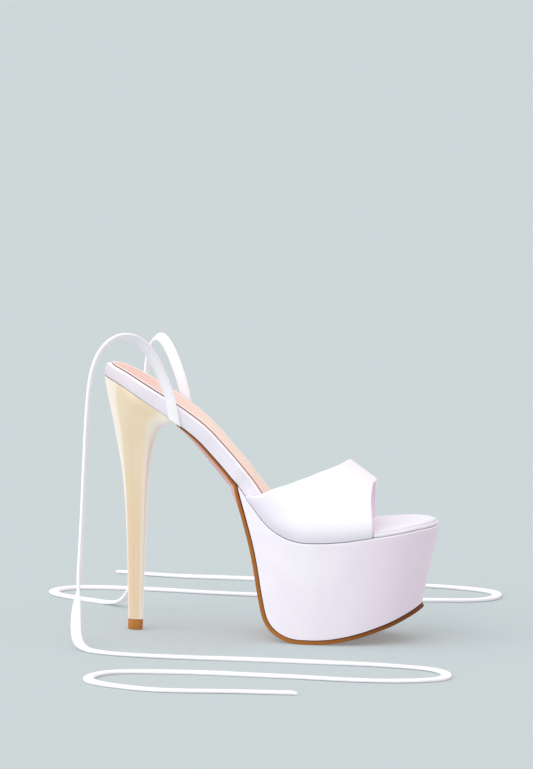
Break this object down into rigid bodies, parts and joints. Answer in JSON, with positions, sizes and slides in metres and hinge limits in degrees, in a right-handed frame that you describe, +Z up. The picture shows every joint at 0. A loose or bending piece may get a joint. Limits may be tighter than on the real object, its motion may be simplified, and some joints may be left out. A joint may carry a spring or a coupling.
{
  "type": "lace up heeled sandal",
  "caption": "High-heeled platform sandal with a forefoot band, open toe, slender metallic heel and long flat ankle ties.",
  "frame": {"origin": "centre of the shoe's bounding box without its free ties, on the floor it stands on", "axes": "+X from heel to toe, +Z up, so that -Y is the outer side of this right shoe"},
  "size_m": [0.2902, 0.4552, 0.1907],
  "materials": {
    "outsole": "smooth tan-brown sole sheet with a pinkish crowned underside at the shank",
    "platform": "smooth white leather-like wrap with a soft sheen",
    "insole": "smooth white wrap on the board's edge",
    "sock": "smooth peach lining",
    "heel": "pale gold metallised mirror gloss",
    "top_piece": "matt tan-brown",
    "vamp": "smooth white leather-like, soft sheen",
    "tie": "smooth white flat strap with edge stitching"
  },
  "bodies": {
    "root": {"outsole": "outsole", "platform": "platform", "insole": "insole", "sock": "sock", "heel": "heel", "top_piece": "top_piece", "vamp": "vamp", "tie_root_outer": "tie", "tie_root_inner": "tie", "tie_outer": "tie", "tie_inner": "tie"}
  },
  "joints": []
}
